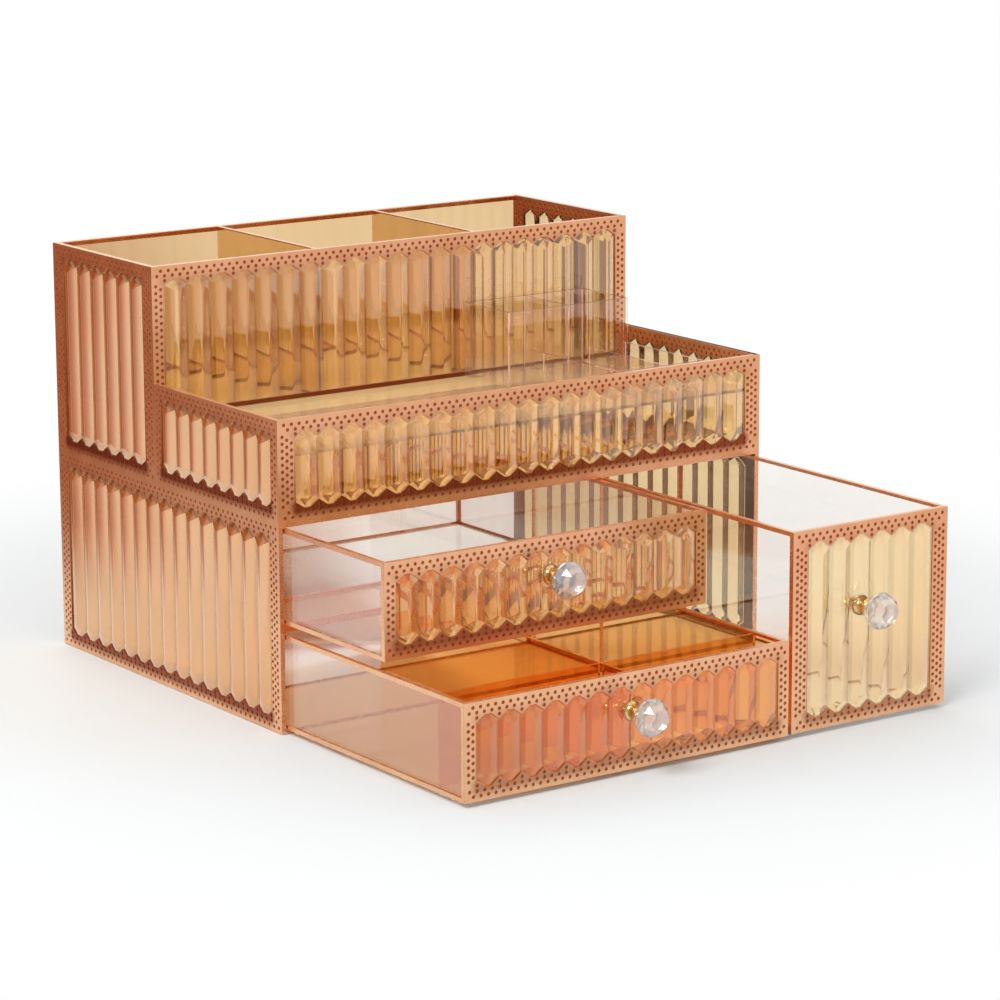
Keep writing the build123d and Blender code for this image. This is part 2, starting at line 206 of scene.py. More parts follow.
world = bpy.data.worlds.new("studio")
scene.world = world
world.use_nodes = True
tree = world.node_tree
tree.nodes.clear()
seen, mirrored, _ = ray_kinds(tree)
direction = put(tree, "ShaderNodeTexCoord").outputs["Generated"]
white = put(tree, "ShaderNodeBackground", {"Color": (1.0, 1.0, 1.0, 1.0)})
lit = put(tree, "ShaderNodeBackground", {"Color": (1.0, 0.985, 0.965, 1.0), "Strength": 0.66})
room = put(tree, "ShaderNodeBackground", {"Color": room_colour(tree, direction)})
surroundings = mixed(tree, mirrored, mixed(tree, seen, lit, white), room)
put(tree, "ShaderNodeOutputWorld", {"Surface": surroundings.outputs[0]})

scene.cycles.max_bounces = 36
scene.cycles.transmission_bounces = 32
scene.cycles.glossy_bounces = 28
scene.cycles.diffuse_bounces = 4
scene.cycles.transparent_max_bounces = 16
print("bounces", scene.cycles.max_bounces, "stops of the room", len(room_stops))

# %% [markdown]
# ## Lamps
# One large soft lamp at the upper left gives the copper its sheen and throws the soft shadow to the right. A weak
# one behind keeps the back rims from going dull.

# %% Lamps
def soft_lamp(name, place, power, colour):
    """An area lamp a metre wide that faces the middle of the organizer."""
    light = bpy.data.lights.new(name, "AREA")
    light.size = 1.0
    light.energy = power
    light.color = colour
    lamp = bpy.data.objects.new(name, light)
    scene.collection.objects.link(lamp)
    direction = Vector((0.0, -0.05, 0.1)) - Vector(place)
    lamp.matrix_world = Matrix.Translation(place) @ direction.to_track_quat("-Z", "Y").to_matrix().to_4x4()


soft_lamp("key lamp", (-1.5, -0.9, 1.7), 30.0, (1.0, 0.97, 0.93))
soft_lamp("back lamp", (0.4, 1.7, 1.5), 7.0, (1.0, 0.98, 0.96))

# %% [markdown]
# ## Floor
# The floor is a pale matt sheet that keeps the object's shadow. Away from the object it fades into the white
# surroundings, so that no horizon shows. Most of what a glass wall mirrors is floor, so the floor shows mirrored rays
# the same room, by the compass direction of the place that they hit, and it is almost white through the panes.

# %% Floor
floor_material = bpy.data.materials.new("pale_floor")
floor_material.use_nodes = True
tree = floor_material.node_tree
tree.nodes.clear()
seen, mirrored, through = ray_kinds(tree)
place = put(tree, "ShaderNodeTexCoord").outputs["Object"]
matt = put(tree, "ShaderNodeBsdfDiffuse", {"Color": (0.83, 0.875, 0.905, 1.0)})
glow = put(tree, "ShaderNodeEmission", {"Color": (1.0, 1.0, 1.0, 1.0)})
room = put(tree, "ShaderNodeEmission", {"Color": room_colour(tree, place)})
distance = put(tree, "ShaderNodeVectorMath", {0: place}, operation="LENGTH")
fade = put(tree, "ShaderNodeMapRange", {
    "Value": distance.outputs["Value"], "From Min": 0.25, "From Max": 0.55,
}, interpolation_type="SMOOTHSTEP")
whiteness = calc(tree, "MAXIMUM", calc(tree, "MULTIPLY", through, 0.85), fade.outputs["Result"])
amount = calc(tree, "MULTIPLY", calc(tree, "MAXIMUM", seen, mirrored), whiteness)
surface = mixed(tree, amount, matt, mixed(tree, mirrored, glow, room))
put(tree, "ShaderNodeOutputMaterial", {"Surface": surface.outputs[0]})

half, level = 6.0, -0.4 * mm
corners = [(-half, -half, level), (half, -half, level), (half, half, level), (-half, half, level)]
floor = add_object("floor", mesh_of("floor", corners, [(0, 1, 2, 3)]))
floor.data.materials.append(floor_material)
floor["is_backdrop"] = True
print("floor at", level)

# %% [markdown]
# ## Glass
# The glass is tinted through its thickness, and a pressed pane is never quite flat, so its surface has a faint
# ripple that bends reflections. Both come from noise in Object coordinates, so they stay with the piece. The real
# panes have a strong amber gloss, like half-silvered glass. A share of metal in the shader gives that: it mirrors
# the room in the colour of the glass, and what is left passes through. A coat adds the plain white gloss. Floors are
# seen at a flat angle, where a normal coat would hide their colour, so theirs is weak.

# %% Glass finish
def ripple(tree, shader, scale, strength):
    """Adds a faint waviness to a shader's normal, from noise in Object coordinates, and returns that noise."""
    place = put(tree, "ShaderNodeTexCoord").outputs["Object"]
    waves = put(tree, "ShaderNodeTexNoise", {"Vector": place, "Scale": scale, "Detail": 0.0}).outputs["Fac"]
    bump = put(tree, "ShaderNodeBump", {"Strength": strength, "Distance": 0.4 * mm, "Height": waves})
    tree.links.new(bump.outputs["Normal"], shader.inputs["Normal"])
    return waves


def tinted(tree, shader, source, low, high):
    """Drives a shader's base colour between two colours with a noise."""
    ramp = put(tree, "ShaderNodeValToRGB", {"Fac": source})
    for stop, position, colour in zip(ramp.color_ramp.elements, (0.3, 0.7), (low, high)):
        stop.position = position
        stop.color = (*colour, 1.0)
    tree.links.new(ramp.outputs["Color"], shader.inputs["Base Color"])


def glass_finish(name, low, high, mirror, clear=1.0, coat_ior=1.5, ior=1.5, waves=9.0, strength=0.05):
    """Tinted glass whose colour drifts between two tones; mirror is its tinted gloss, clear what it lets through."""
    material = bpy.data.materials.new(name)
    material.use_nodes = True
    tree = material.node_tree
    shader = tree.nodes["Principled BSDF"]
    settings = {
        "Transmission Weight": clear, "Roughness": 0.0, "IOR": ior, "Metallic": mirror,
        "Coat Weight": 1.0, "Coat IOR": coat_ior, "Coat Roughness": 0.02,
    }
    for label, value in settings.items():
        shader.inputs[label].default_value = value
    tinted(tree, shader, ripple(tree, shader, waves, strength), low, high)
    return material


amber_flutes = glass_finish(
    "amber_fluted_glass", (1.0, 0.70, 0.36), (1.0, 0.76, 0.43), 0.10, coat_ior=1.35, waves=20.0)
# The next three are copies of the same amber glass, set apart only to paint light: brighter for the upper fronts, a
# strong tinted mirror for the left panes, golden for the right panes and the side drawer's front.
flutes_painted_light = glass_finish(
    "fluted_amber_painted_light", (1.0, 0.77, 0.46), (1.0, 0.83, 0.54), 0.13, waves=20.0)
flutes_painted_reflection = glass_finish(
    "fluted_amber_painted_reflection", (0.98, 0.60, 0.28), (1.0, 0.67, 0.35), 0.62, waves=20.0)
flutes_painted_gold_light = glass_finish(
    "fluted_gold_painted_light", (0.98, 0.79, 0.44), (1.0, 0.86, 0.53), 0.14, coat_ior=1.35, waves=20.0)
amber_plate = glass_finish(
    "amber_plate_glass", (0.83, 0.60, 0.34), (0.86, 0.64, 0.37), 0.03, coat_ior=1.4, ior=1.06)
amber_floor = glass_finish(
    "amber_floor_glass", (0.96, 0.57, 0.21), (0.98, 0.63, 0.26), 0.04, coat_ior=1.1, ior=1.03)
gold_floor = glass_finish(
    "gold_floor_glass", (0.98, 0.66, 0.32), (0.99, 0.72, 0.38), 0.02, coat_ior=1.03, ior=1.02)
cream_floor = glass_finish(
    "cream_floor_glass", (1.0, 0.84, 0.55), (1.0, 0.89, 0.60), 0.06, 0.75, coat_ior=1.1, ior=1.02)
pale_floor = glass_finish(
    "pale_floor_glass", (0.99, 0.97, 0.94), (1.0, 0.98, 0.96), 0.02, coat_ior=1.03, ior=1.02)
pale_plate = glass_finish(
    "pale_plate_glass", (0.99, 0.94, 0.91), (1.0, 0.97, 0.95), 0.12, coat_ior=1.4, ior=1.04)
clear_plate = glass_finish(
    "clear_plate_glass", (0.98, 0.97, 0.96), (0.99, 0.99, 0.98), 0.04, coat_ior=1.2, ior=1.04)
clear_acrylic = glass_finish(
    "clear_acrylic", (1.0, 0.98, 0.97), (1.0, 0.99, 0.98), 0.03, coat_ior=1.45, ior=1.001)
# The insert's rim and corner finishes are painted shade and a painted highlight, not tints of the acrylic.
acrylic_rim_painted_shade = glass_finish(
    "acrylic_rim_painted_shade", (0.38, 0.17, 0.11), (0.46, 0.22, 0.15), 0.8, 0.0, coat_ior=1.05, ior=1.001)
acrylic_corner_painted_highlight = glass_finish(
    "acrylic_corner_painted_highlight", (0.95, 0.70, 0.58), (1.0, 0.80, 0.68), 0.5, 0.1, coat_ior=1.2, ior=1.001)
cut_crystal = glass_finish(
    "cut_crystal", (0.98, 0.98, 0.99), (1.0, 1.0, 1.0), 0.10, 0.75, ior=1.6, strength=0.0)
print("finishes so far:", ", ".join(m.name for m in bpy.data.materials))

# %% [markdown]
# ## Copper and gilt
# Copper strip is stamped, plated and lightly brushed. Its colour drifts with the plating, and its gloss with handling,
# so one noise drives the colour and a finer, stretched one the roughness. Where a piece marks a place as shaded, with
# a vertex value, the colour goes to a dark red brown there: painted shade.

# %% Metal finish
def metal_finish(name, low, high, smooth, rough, stretch=(1.0, 1.0, 6.0), shade_colour=None):
    """Plated metal with drifting colour and uneven polish, darkened to a painted shade colour where the piece's shade
    value is 1.
    """
    material = bpy.data.materials.new(name)
    material.use_nodes = True
    tree = material.node_tree
    shader = tree.nodes["Principled BSDF"]
    shader.inputs["Metallic"].default_value = 1.0
    place = put(tree, "ShaderNodeTexCoord").outputs["Object"]
    drift = put(tree, "ShaderNodeTexNoise", {"Vector": place, "Scale": 60.0, "Detail": 4.0})
    tinted(tree, shader, drift.outputs["Fac"], low, high)
    if shade_colour:
        unshaded_colour = shader.inputs["Base Color"].links[0].from_socket
        painted_shade = put(tree, "ShaderNodeAttribute", attribute_name="painted_shade")
        mix = put(tree, "ShaderNodeMixRGB", {"Fac": painted_shade.outputs["Fac"], "Color1": unshaded_colour, "Color2": (*shade_colour, 1.0)})
        tree.links.new(mix.outputs["Color"], shader.inputs["Base Color"])
    mapping = put(tree, "ShaderNodeMapping", {"Vector": place, "Scale": stretch})
    brush = put(tree, "ShaderNodeTexNoise", {"Vector": mapping.outputs["Vector"], "Scale": 220.0, "Detail": 3.0})
    strokes = brush.outputs["Fac"]
    polish = put(tree, "ShaderNodeMapRange", {"Value": strokes, "To Min": smooth, "To Max": rough})
    bump = put(tree, "ShaderNodeBump", {"Strength": 0.25, "Distance": 0.1 * mm, "Height": strokes})
    tree.links.new(polish.outputs["Result"], shader.inputs["Roughness"])
    tree.links.new(bump.outputs["Normal"], shader.inputs["Normal"])
    return material


# The lace copper turns dark red brown where a lace's vertex value says so: painted shade at the teeth and the foot.
copper_lace = metal_finish(
    "copper_lace", (0.86, 0.50, 0.28), (0.94, 0.61, 0.38), 0.24, 0.42, shade_colour=(0.26, 0.04, 0.01))
copper_strip = metal_finish("copper_strip", (0.86, 0.47, 0.27), (0.94, 0.59, 0.37), 0.20, 0.36)
# A dark copper used as painted shade: the sheet behind the lace's holes and the beads at the tall box's foot.
dark_copper = metal_finish("painted_shade_copper", (0.38, 0.12, 0.045), (0.50, 0.18, 0.07), 0.45, 0.6)
gilt = metal_finish(
    "gilt_knob_metal", (0.86, 0.58, 0.24), (0.92, 0.68, 0.34), 0.10, 0.24, stretch=(1.0, 1.0, 1.0))
print("metal finishes:", copper_lace.name, copper_strip.name, dark_copper.name, gilt.name)

# %% [markdown]
# ## Tools for Geometry Nodes
# Flutes and punched holes repeat by rule, so node trees make them. A tree's sizes are named inputs on its
# interface. The helpers below start such a tree, and run a finished one on a piece, keeping the result as a plain
# mesh.

# %% Tree helpers
def new_tree(name, inputs):
    """A geometry tree with named inputs, each a (name, socket kind) pair, and one geometry output."""
    tree = bpy.data.node_groups.new(name, "GeometryNodeTree")
    for label, kind in inputs:
        tree.interface.new_socket(label, in_out="INPUT", socket_type=f"NodeSocket{kind}")
    tree.interface.new_socket("Geometry", in_out="OUTPUT", socket_type="NodeSocketGeometry")
    return tree


weld = 0.002 * mm


def run_tree(holder, tree, sizes):
    """Runs a tree on an object and keeps the result as its plain mesh, with every face outwards."""
    modifier = holder.modifiers.new("shape", "NODES")
    modifier.node_group = tree
    for socket in tree.interface.items_tree:
        if socket.in_out == "INPUT" and socket.name in sizes:
            modifier[socket.identifier] = sizes[socket.name]
    bpy.context.view_layer.update()
    evaluated = holder.evaluated_get(bpy.context.evaluated_depsgraph_get())
    mesh = bpy.data.meshes.new_from_object(evaluated)
    holder.modifiers.clear()
    holder.data = mesh
    tidy_normals(mesh)


def tidy_normals(mesh):
    """Welds doubles and turns every face outwards."""
    work = bmesh.new()
    work.from_mesh(mesh)
    bmesh.ops.remove_doubles(work, verts=work.verts, dist=weld)
    bmesh.ops.recalc_face_normals(work, faces=work.faces)
    work.to_mesh(mesh)
    work.free()
    mesh.update()


print("tree helpers ready; corners closer than", weld, "m are welded")

# %% [markdown]
# ## The fluted pane
# A fluted pane is one pressed sheet, so it is one closed mesh and not a sheet with bars laid on it; light would
# otherwise meet glass inside glass. Every flute is a low roof with hipped, pointed ends. Its outline is drawn in step
# by step while it rises: the further a line lies from the edge, the higher it stands, and the slope eases towards the
# ridge. That gives crisp edges where the facets meet and a soft ridge, as pressing does.

# %% One flute
flute_section = ((1.0, 0.0), (0.86, 0.20), (0.66, 0.44), (0.44, 0.67), (0.22, 0.87), (0.06, 0.985), (0.0, 1.0))
crown_flat = 0.26


def flute_tip(pitch, inset):
    """A flute's tip drawn in by inset: half width and reach of its corner, then of its crown."""
    tooth, crown = tooth_reach + lace_fit, crown_reach + lace_fit
    run, fall = (1 - crown_flat) * pitch / 2, tooth - crown
    slant = hypot(run, fall)
    across, along = fall / slant, run / slant
    corner = (pitch / 2 - inset, tooth + inset * (1 - across) / along)
    half_crown = pitch / 2 - (inset - along * (crown + inset - tooth)) / across
    if half_crown > 0:
        return corner, (half_crown, crown + inset)
    return corner, (0, tooth + (inset - across * pitch / 2) / along)


def flute_mesh(length, height, band, flutes, tuck, cap, pointed_foot):
    """One flute with its share of the sheet about X = 0, and the two plain bands at the pane's ends."""
    pitch = (length - 2 * band) / flutes
    top = height - cap
    rings = []
    for share, stand in flute_section:
        (a, corner), (b, crown) = flute_tip(pitch, (1 - share) * pitch / 2)
        foot_corner, foot_crown = (corner, crown) if pointed_foot else (foot_strip + lace_fit,) * 2
        ring = [(-a, foot_corner), (-b, foot_crown), (b, foot_crown), (a, foot_corner)]
        ring += [(a, height - corner), (b, height - crown), (-b, height - crown), (-a, height - corner)]
        rings.append([(x, y, relief * stand) for x, y in ring])
    polygons = []
    for ring, above in zip(rings, rings[1:]):
        polygons += [(ring[i], ring[(i + 1) % 8], above[(i + 1) % 8], above[i]) for i in range(8)]
    outline = rings[0]
    rim = [(outline[i][0], 0.0 if i < 4 else top, 0.0) for i in range(8)]
    under = [(x, y, -glass) for x, y, _ in rim]
    polygons.append(under)
    for i in (0, 1, 2, 4, 5, 6):
        polygons.append((rim[i], rim[i + 1], outline[i + 1], outline[i]))
        polygons.append((under[i], under[i + 1], rim[i + 1], rim[i]))
    flute_count = len(polygons)
    levels = [0.0, outline[0][1], outline[7][1], top]
    for near, far in ((band, tuck), (length - band, length - tuck)):
        for low, high in zip(levels, levels[1:]):
            polygons.append(((near, low, 0), (far, low, 0), (far, high, 0), (near, high, 0)))
        polygons.append(((near, 0, -glass), (far, 0, -glass), (far, top, -glass), (near, top, -glass)))
        for y in (0.0, top):
            polygons.append(((near, y, 0), (far, y, 0), (far, y, -glass), (near, y, -glass)))
        polygons.append([(far, y, 0) for y in levels] + [(far, top, -glass), (far, 0, -glass)])
    vertices, faces = [], []
    for polygon in polygons:
        faces.append(tuple(range(len(vertices), len(vertices) + len(polygon))))
        vertices += polygon
    mesh = mesh_of("flute", vertices, faces)
    band_flag = mesh.attributes.new("band", "BOOLEAN", "FACE")
    band_flag.data.foreach_set("value", [n >= flute_count for n in range(len(faces))])
    tidy_normals(mesh)
    return mesh, pitch


sample, pitch = flute_mesh(0.12, 0.05, 0.008, 7, metal, metal, True)
print("one flute and two bands:", len(sample.polygons), "faces, pitch", round(pitch * 1000, 2), "mm")

# %% [markdown]
# The tree repeats that flute along the pane. The band flag parts the flute from the bands, points a pitch apart carry
# the flute's copies, and welding makes one closed skin of all of them.

# %% Fluted pane tree
pane_tree = new_tree("fluted_pane", [
    ("Flute", "Geometry"), ("Flutes", "Int"), ("Pitch", "Float"), ("First", "Float"), ("Finish", "Material"),
])
given = put(pane_tree, "NodeGroupInput").outputs
band_flag = put(pane_tree, "GeometryNodeInputNamedAttribute", {"Name": "band"}, data_type="BOOLEAN")
split = put(pane_tree, "GeometryNodeSeparateGeometry", {
    "Geometry": given["Flute"], "Selection": band_flag.outputs["Attribute"],
}, domain="FACE")
places = put(pane_tree, "GeometryNodeMeshLine", {
    "Count": given["Flutes"],
    "Start Location": put(pane_tree, "ShaderNodeCombineXYZ", {"X": given["First"]}).outputs[0],
    "Offset": put(pane_tree, "ShaderNodeCombineXYZ", {"X": given["Pitch"]}).outputs[0],
}, mode="OFFSET", count_mode="TOTAL")
copies = put(pane_tree, "GeometryNodeInstanceOnPoints", {
    "Points": places.outputs["Mesh"], "Instance": split.outputs["Inverted"],
})
realized = put(pane_tree, "GeometryNodeRealizeInstances", {"Geometry": copies.outputs[0]})
joined = put(pane_tree, "GeometryNodeJoinGeometry")
pane_tree.links.new(realized.outputs[0], joined.inputs[0])
pane_tree.links.new(split.outputs["Selection"], joined.inputs[0])
welded = put(pane_tree, "GeometryNodeMergeByDistance", {"Geometry": joined.outputs[0], "Distance": 1e-5})
finished = put(pane_tree, "GeometryNodeSetMaterial", {"Geometry": welded.outputs[0], "Material": given["Finish"]})
put(pane_tree, "NodeGroupOutput", {"Geometry": finished.outputs[0]})
print("fluted pane tree:", len(pane_tree.nodes), "nodes")

# %% [markdown]
# ## The faces and where they lie
# Each fluted face is described once, for its pane and for its lace: which body carries it, the plane that it lies on,
# its length and height, the plain band at its sides and the number of flutes. A plane is given by its lower left
# corner and the direction that it looks in.

# %% Table of faces
width, depth = 320 * mm, 235 * mm
cabinet_height, tall_height, tray_height = 113 * mm, 119 * mm, 55 * mm
left, front, back = -width / 2, -depth / 2, depth / 2
tall_face = back - 109.5 * mm
tier_floor = cabinet_height + 36.5 * mm
directions = {"front": ((1, 0, 0), (0, -1, 0)), "left": ((0, -1, 0), (-1, 0, 0)), "right": ((0, 1, 0), (1, 0, 0))}


def plane(side, corner):
    """The matrix of a face: X along it, Y up and Z outwards."""
    along, outwards = (Vector(v) for v in directions[side])
    upwards = outwards.cross(along)
    return Matrix.Translation(corner) @ Matrix((along, upwards, outwards)).transposed().to_4x4()


left_x, right_x = left + metal, -left - metal
tall_side = (108.3 * mm, tall_height, 10.6 * mm, 6)
tray_side = (124.9 * mm, tray_height, 7.0 * mm, 8)
cabinet_side = (233.8 * mm, cabinet_height, 9.6 * mm, 15)
faces = {
    "cabinet_left": (plane("left", (left_x, back - metal, 0)), cabinet_side, dict()),
    "cabinet_right": (plane("right", (right_x, front + metal, 0)), cabinet_side, dict()),
    "tall_left": (plane("left", (left_x, back - metal, cabinet_height)), tall_side, dict(cap=metal)),
    "tall_right": (plane("right", (right_x, tall_face + metal, cabinet_height)), tall_side, dict(cap=metal)),
    "tall_front": (
        plane("front", (left, tall_face + metal, tier_floor)),
        (width, cabinet_height + tall_height - tier_floor, 8.2 * mm, 21),
        dict(tuck=wall, cap=metal, pointed_foot=False),
    ),
    "tray_left": (plane("left", (left_x, tall_face, cabinet_height)), tray_side, dict(cap=metal, fold=0.0)),
    "tray_right": (plane("right", (right_x, front + metal, cabinet_height)), tray_side, dict(cap=metal, fold=0.0)),
    "tray_front": (
        plane("front", (left, front + metal, cabinet_height)),
        (width, tray_height, 11.2 * mm, 21),
        dict(tuck=wall, cap=metal, fold=wall),
    ),
}
drawer_faces = {"upper_drawer": (14, 7.4 * mm), "lower_drawer": (14, 7.4 * mm), "side_drawer": (6, 10.8 * mm)}
for name, (flutes, band) in drawer_faces.items():
    low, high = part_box(f"{name}_front_lace")
    size = (high.x - low.x, high.z - low.z, band, flutes)
    faces[f"{name}_front"] = (plane("front", (low.x, high.y, low.z)), size, dict(tuck=metal, cap=metal, body=name))
print(len(faces), "fluted faces")

# %% [markdown]
# The drawer fronts are drilled for the knob's screw, and the flutes are milled to a round flat where the knob's foot
# sits. A turned cutter with two steps takes away both in one cut.


# %% Make the panes
def lathe(name, profile, steps, centre):
    """A turned mesh: the profile's (radius, height) points run round an axis that points to the front."""
    axis, across = Vector((0, -1, 0)), Vector((1, 0, 0))
    upwards = axis.cross(across)
    vertices = []
    for radius, height in profile:
        for n in range(steps):
            angle = 2 * pi * n / steps
            vertices.append(centre + axis * height + (across * cos(angle) + upwards * sin(angle)) * radius)
    faces = []
    for ring in range(len(profile) - 1):
        for n in range(steps):
            m = (n + 1) % steps
            faces.append((ring * steps + n, ring * steps + m, (ring + 1) * steps + m, (ring + 1) * steps + n))
    faces.append(tuple(range(steps)))
    faces.append(tuple(range((len(profile) - 1) * steps, len(profile) * steps)))
    mesh = mesh_of(name, vertices, faces)
    tidy_normals(mesh)
    return mesh


def knob_axis(drawer):
    """The point on a drawer's glass face where its knob stands."""
    low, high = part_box(f"{drawer}_knob_crystal")
    glass_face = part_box(f"{drawer}_front_lace")[1].y
    return Vector(((low.x + high.x) / 2, glass_face, (low.z + high.z) / 2))


def cut(piece, cutter_mesh):
    """Takes a cutter's shape out of a piece."""
    cutter = add_object("cutter", cutter_mesh)
    modifier = piece.modifiers.new("cut", "BOOLEAN")
    modifier.object = cutter
    modifier.solver = "EXACT"
    bpy.context.view_layer.update()
    mesh = bpy.data.meshes.new_from_object(piece.evaluated_get(bpy.context.evaluated_depsgraph_get()))
    piece.modifiers.clear()
    piece.data = mesh
    bpy.data.objects.remove(cutter)


def flute_finish(name):
    """One amber glass in lit and shaded copies: the left panes mirror the room most, a painted reflection; the upper
    fronts are brighter and the right side golden, painted light.
    """
    if name.endswith("_left"):
        return flutes_painted_reflection
    if name in ("tall_front", "tray_front"):
        return flutes_painted_light
    return flutes_painted_gold_light if name.endswith("_right") or name.startswith("side_drawer") else amber_flutes


knob_cutter = [(r * mm, h * mm) for r, h in ((2.3, -3), (2.3, 0), (5.4, 0), (5.4, 4))]
facet_angle = radians(12)


def fluted_pane(name, matrix, size, tuck=0.0, cap=0.0, pointed_foot=True, body="organizer", **_):
    """Makes one fluted pane in place of its plain solid."""
    length, height, band, flutes = size
    flute, pitch = flute_mesh(length, height, band, flutes, tuck, cap, pointed_foot)
    holder = add_object(f"{name}_pressed", flute)
    run_tree(holder, pane_tree, {
        "Flutes": flutes, "Pitch": pitch, "First": band + pitch / 2, "Finish": flute_finish(name),
    })
    holder.data.transform(matrix)
    if body != "organizer":
        cut(holder, lathe("cutter", knob_cutter, 32, knob_axis(body)))
    holder.data.shade_smooth()
    holder.data.set_sharp_from_angle(angle=facet_angle)
    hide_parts(name)
    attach(holder, body)
    return holder


for name, (matrix, size, fit) in faces.items():
    pane = fluted_pane(name, matrix, size, **fit)
    print(pane.name, len(pane.data.polygons), "faces")

# %% [markdown]
# ## The lace
# Each lace is one strip of stamped copper: a frame whose inner edge is a row of arches with a tooth over every valley
# between the flutes, punched with staggered rows of round holes. A thin dark copper sheet lies under it as painted
# shade, so every hole looks dark. The outline and the hole centres are laid out as a wire and loose points, and a node
# tree sets a circle on every point, fills what lies between the curves and gives both layers their thickness.

# %% Lace tree
lace_tree = new_tree("stamped_lace", [
    ("Layout", "Geometry"), ("Hole Radius", "Float"), ("Hole Sides", "Int"), ("Thickness", "Float"),
    ("Backing", "Float"), ("Finish", "Material"), ("Backing Finish", "Material"),
])
given = put(lace_tree, "NodeGroupInput").outputs
wires = put(lace_tree, "GeometryNodeMeshToCurve", {"Mesh": given["Layout"]})
lonely = put(lace_tree, "FunctionNodeCompare", {
    "A": put(lace_tree, "GeometryNodeInputMeshVertexNeighbors").outputs["Vertex Count"], "B": 0,
}, data_type="INT", operation="EQUAL")
centres = put(lace_tree, "GeometryNodeMeshToPoints", {"Mesh": given["Layout"], "Selection": lonely.outputs[0]})
circle = put(lace_tree, "GeometryNodeCurvePrimitiveCircle", {
    "Resolution": given["Hole Sides"], "Radius": given["Hole Radius"],
})
holes = put(lace_tree, "GeometryNodeInstanceOnPoints", {"Points": centres.outputs[0], "Instance": circle.outputs[0]})
real_holes = put(lace_tree, "GeometryNodeRealizeInstances", {"Geometry": holes.outputs[0]})
curves = put(lace_tree, "GeometryNodeJoinGeometry")
lace_tree.links.new(wires.outputs[0], curves.inputs[0])
lace_tree.links.new(real_holes.outputs[0], curves.inputs[0])


def sheet(tree, curve, thickness, material):
    """Fills curves and gives the sheet its thickness and finish."""
    filled = put(tree, "GeometryNodeFillCurve", {"Curve": curve})
    rise = put(tree, "ShaderNodeCombineXYZ", {"Z": thickness}).outputs[0]
    raised = put(tree, "GeometryNodeExtrudeMesh", {
        "Mesh": filled.outputs[0], "Offset": rise, "Offset Scale": 1.0, "Individual": False,
    }, mode="FACES")
    underside = put(tree, "GeometryNodeFlipFaces", {"Mesh": filled.outputs[0]})
    joined = put(tree, "GeometryNodeJoinGeometry")
    tree.links.new(raised.outputs["Mesh"], joined.inputs[0])
    tree.links.new(underside.outputs[0], joined.inputs[0])
    welded = put(tree, "GeometryNodeMergeByDistance", {"Geometry": joined.outputs[0], "Distance": 3e-6})
    return put(tree, "GeometryNodeSetMaterial", {"Geometry": welded.outputs[0], "Material": material}).outputs[0]


upper_height = calc(lace_tree, "MULTIPLY", given["Backing"], 1.2)
upper_thickness = calc(lace_tree, "SUBTRACT", given["Thickness"], upper_height)
upper = sheet(lace_tree, curves.outputs[0], upper_thickness, given["Finish"])
lifted = put(lace_tree, "GeometryNodeTransform", {
    "Geometry": upper, "Translation": put(lace_tree, "ShaderNodeCombineXYZ", {"Z": upper_height}).outputs[0],
})
layers = put(lace_tree, "GeometryNodeJoinGeometry")
lower = sheet(lace_tree, wires.outputs[0], given["Backing"], given["Backing Finish"])
lace_tree.links.new(lifted.outputs[0], layers.inputs[0])
lace_tree.links.new(lower, layers.inputs[0])
realized = put(lace_tree, "GeometryNodeRealizeInstances", {"Geometry": layers.outputs[0]})
put(lace_tree, "NodeGroupOutput", {"Geometry": realized.outputs[0]})
print("lace tree:", len(lace_tree.nodes), "nodes")

# %% [markdown]
# Three holes fall on each flute in the two rows of the head and the foot, the second row set half a step aside, and
# one more hole sits in every tooth. The sides have two or three staggered columns, by the width of their band.

# %% Lace layout
hole_radius = 1.0 * mm
row_reach = (2.8 * mm, 5.5 * mm)
tooth_hole_reach = 8.2 * mm
plain_edge = 2.0 * mm
column_step = 3.7 * mm
row_room = 2.6 * mm
tooth_room = 2.4 * mm
tooth_edge = 3.2 * mm
two_columns = (0.31, 0.68)
three_columns = (0.27, 0.52, 0.77)


def arch_line(length, band, flutes):
    """The points of a row of arches, from left to right, as (x, reach from the edge)."""
    pitch = (length - 2 * band) / flutes
    points = []
    for n in range(flutes):
        start = band + n * pitch
        half_crown = crown_flat * pitch / 2
        points.append((start, tooth_reach))
        points.append((start + pitch / 2 - half_crown, crown_reach))
        points.append((start + pitch / 2 + half_crown, crown_reach))
    points[0] = (band - lace_fit, tooth_reach)
    points.append((length - band + lace_fit, tooth_reach))
    return points


def spread_evenly(middle, step, low, high):
    """Places a step apart on both sides of a middle, between two limits."""
    first = middle - int((middle - low) / step) * step
    return [first + n * step for n in range(int((high - first) / step + 1e-6) + 1)]


def hole_centres(length, height, band, flutes, pointed_foot):
    """Every punched hole's centre on a lace."""
    pitch = (length - 2 * band) / flutes
    step = pitch / 3
    centres = []
    for row, reach in enumerate(row_reach):
        places = spread_evenly(band + (0.5 - 0.5 * row) * step, step, plain_edge, length - plain_edge)
        centres += [(x, height - reach) for x in places]
        if pointed_foot:
            centres += [(x, reach) for x in places]
    for n in range(flutes + 1):
        centres.append((band + n * pitch, height - tooth_hole_reach))
        if pointed_foot:
            centres.append((band + n * pitch, tooth_hole_reach))
    low = row_reach[1] + row_room if pointed_foot else plain_edge
    high = height - row_reach[1] - row_room
    for column, share in enumerate(three_columns if band > 9 * mm else two_columns):
        middle = (low + high) / 2 + 0.5 * (column % 2) * column_step
        near_tooth = share * band > band - tooth_edge
        for y in spread_evenly(middle, column_step, low, high):
            if near_tooth and min(abs(y - tooth_hole_reach), abs(height - y - tooth_hole_reach)) < tooth_room:
                continue
            centres += [(share * band, y), (length - share * band, y)]
    return centres


